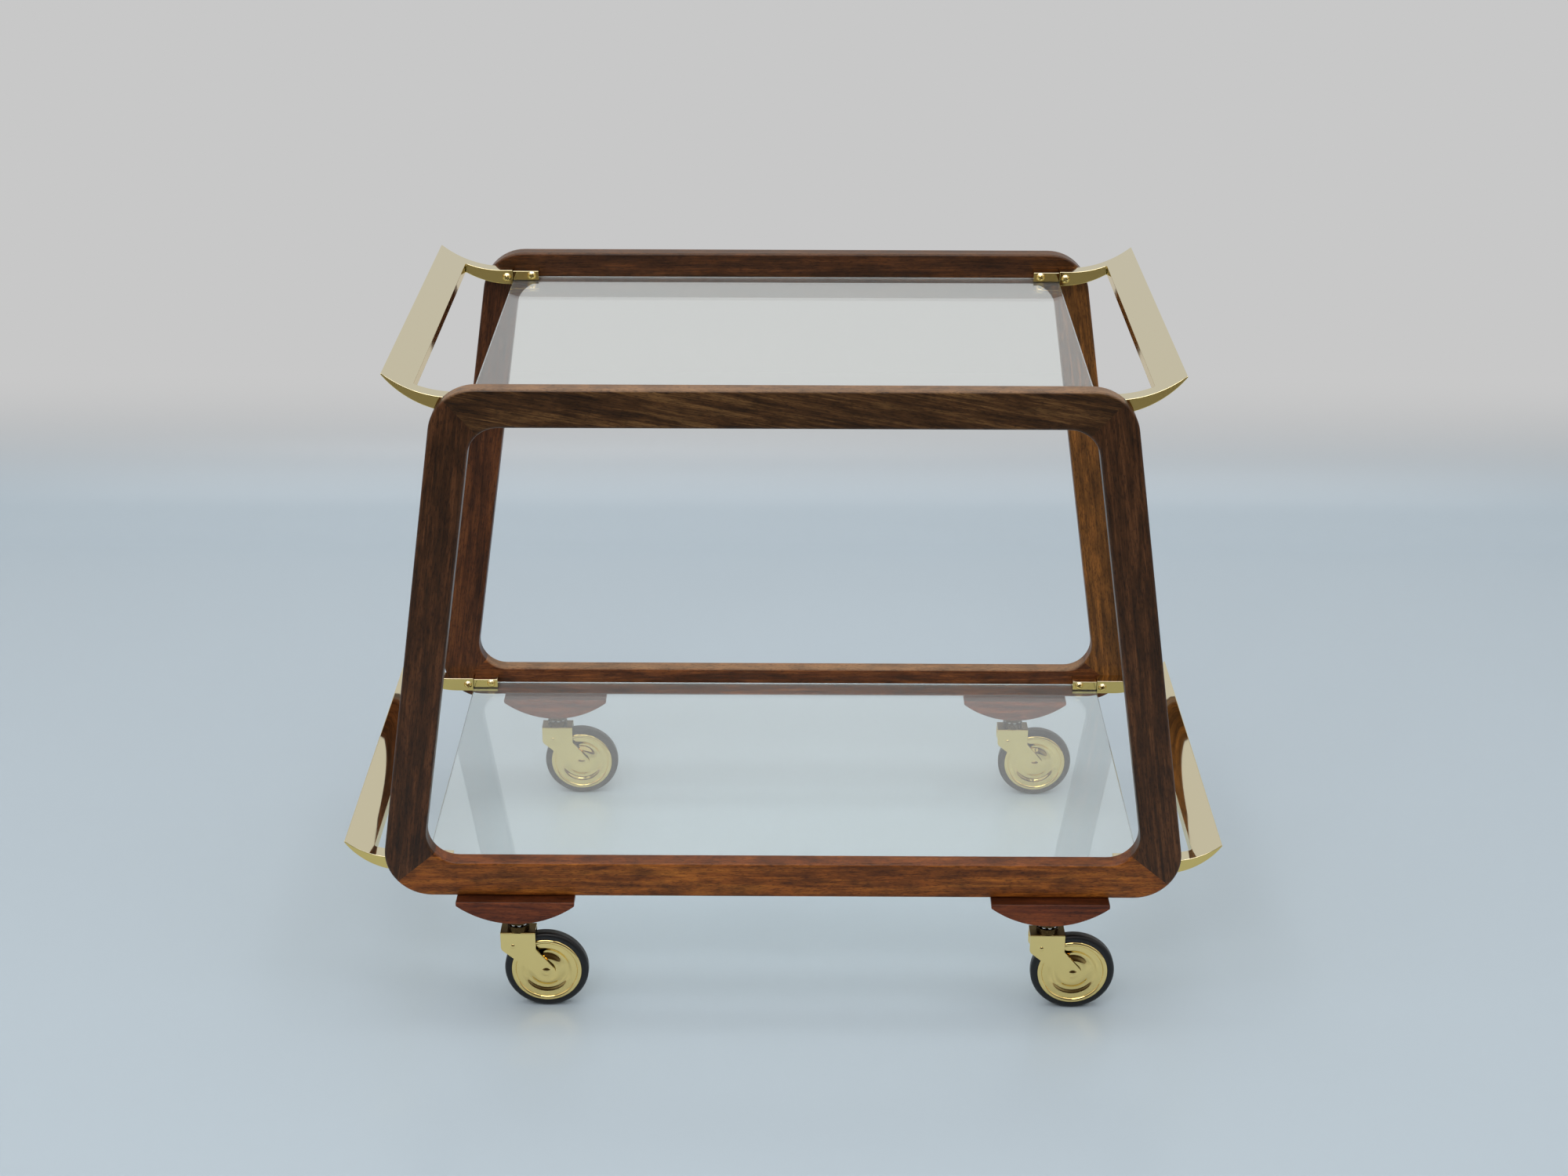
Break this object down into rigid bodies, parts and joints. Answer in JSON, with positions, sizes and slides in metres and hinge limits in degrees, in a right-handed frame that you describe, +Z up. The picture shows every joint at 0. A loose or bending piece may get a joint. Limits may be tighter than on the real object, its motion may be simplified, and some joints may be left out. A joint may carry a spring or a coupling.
{
  "type": "bar cart",
  "caption": "Rolling bar cart: two leaning hardwood frames carry an upper and a lower glass shelf, with curved brass handles at both ends and swivel casters.",
  "frame": {"origin": "on the floor, under the middle of the cart", "axes": "+X along the cart, +Y from the near frame to the far frame, +Z up"},
  "size_m": [0.7726, 0.433, 0.5939],
  "materials": {
    "frame_wood": "satin lacquered dark walnut",
    "block_wood": "satin lacquered reddish hardwood",
    "tongue_wood": "planed beech",
    "glass": "clear float glass with polished edges",
    "polished_brass": "polished brass",
    "screw_steel": "zinc plated",
    "bearing_steel": "polished steel",
    "tyre": "black rubber"
  },
  "bodies": {
    "cart": {"near_top_rail": "frame_wood", "near_bottom_rail": "frame_wood", "near_left_leg": "frame_wood", "near_right_leg": "frame_wood", "far_top_rail": "frame_wood", "far_bottom_rail": "frame_wood", "far_left_leg": "frame_wood", "far_right_leg": "frame_wood", "corner_tongues": "tongue_wood", "upper_glass_shelf": "glass", "lower_glass_shelf": "glass", "upper_left_handle": "polished_brass", "upper_right_handle": "polished_brass", "lower_left_handle": "polished_brass", "lower_right_handle": "polished_brass", "upper_glass_clips": "polished_brass", "lower_glass_clips": "polished_brass", "upper_shelf_screws": "polished_brass", "lower_shelf_screws": "polished_brass", "block_screws": "screw_steel", "near_left_caster_block": "block_wood", "near_left_socket": "polished_brass", "near_right_caster_block": "block_wood", "near_right_socket": "polished_brass", "far_left_caster_block": "block_wood", "far_left_socket": "polished_brass", "far_right_caster_block": "block_wood", "far_right_socket": "polished_brass"},
    "near_left_swivel_fork": {"near_left_fork": "polished_brass", "near_left_swivel_stem": "polished_brass", "near_left_bearing_balls": "bearing_steel", "near_left_fork_rivets": "polished_brass"},
    "near_left_wheel": {"near_left_tyre": "tyre", "near_left_front_disc": "polished_brass", "near_left_back_disc": "polished_brass", "near_left_hub_bush": "bearing_steel"},
    "near_right_swivel_fork": {"near_right_fork": "polished_brass", "near_right_swivel_stem": "polished_brass", "near_right_bearing_balls": "bearing_steel", "near_right_fork_rivets": "polished_brass"},
    "near_right_wheel": {"near_right_tyre": "tyre", "near_right_front_disc": "polished_brass", "near_right_back_disc": "polished_brass", "near_right_hub_bush": "bearing_steel"},
    "far_left_swivel_fork": {"far_left_fork": "polished_brass", "far_left_swivel_stem": "polished_brass", "far_left_bearing_balls": "bearing_steel", "far_left_fork_rivets": "polished_brass"},
    "far_left_wheel": {"far_left_tyre": "tyre", "far_left_front_disc": "polished_brass", "far_left_back_disc": "polished_brass", "far_left_hub_bush": "bearing_steel"},
    "far_right_swivel_fork": {"far_right_fork": "polished_brass", "far_right_swivel_stem": "polished_brass", "far_right_bearing_balls": "bearing_steel", "far_right_fork_rivets": "polished_brass"},
    "far_right_wheel": {"far_right_tyre": "tyre", "far_right_front_disc": "polished_brass", "far_right_back_disc": "polished_brass", "far_right_hub_bush": "bearing_steel"}
  },
  "joints": [
    {"name": "near_left_swivel", "type": "hinge", "parent": "cart", "child": "near_left_swivel_fork", "pos_m": [-0.235, -0.1965, 0.078], "axis": [0, 0, 1], "continuous": true},
    {"name": "near_left_roll", "type": "hinge", "parent": "near_left_swivel_fork", "child": "near_left_wheel", "pos_m": [-0.211, -0.1965, 0.0375], "axis": [0, 1, 0], "continuous": true},
    {"name": "near_right_swivel", "type": "hinge", "parent": "cart", "child": "near_right_swivel_fork", "pos_m": [0.235, -0.1965, 0.078], "axis": [0, 0, 1], "continuous": true},
    {"name": "near_right_roll", "type": "hinge", "parent": "near_right_swivel_fork", "child": "near_right_wheel", "pos_m": [0.259, -0.1965, 0.0375], "axis": [0, 1, 0], "continuous": true},
    {"name": "far_left_swivel", "type": "hinge", "parent": "cart", "child": "far_left_swivel_fork", "pos_m": [-0.235, 0.1965, 0.078], "axis": [0, 0, 1], "continuous": true},
    {"name": "far_left_roll", "type": "hinge", "parent": "far_left_swivel_fork", "child": "far_left_wheel", "pos_m": [-0.211, 0.1965, 0.0375], "axis": [0, 1, 0], "continuous": true},
    {"name": "far_right_swivel", "type": "hinge", "parent": "cart", "child": "far_right_swivel_fork", "pos_m": [0.235, 0.1965, 0.078], "axis": [0, 0, 1], "continuous": true},
    {"name": "far_right_roll", "type": "hinge", "parent": "far_right_swivel_fork", "child": "far_right_wheel", "pos_m": [0.259, 0.1965, 0.0375], "axis": [0, 1, 0], "continuous": true}
  ]
}
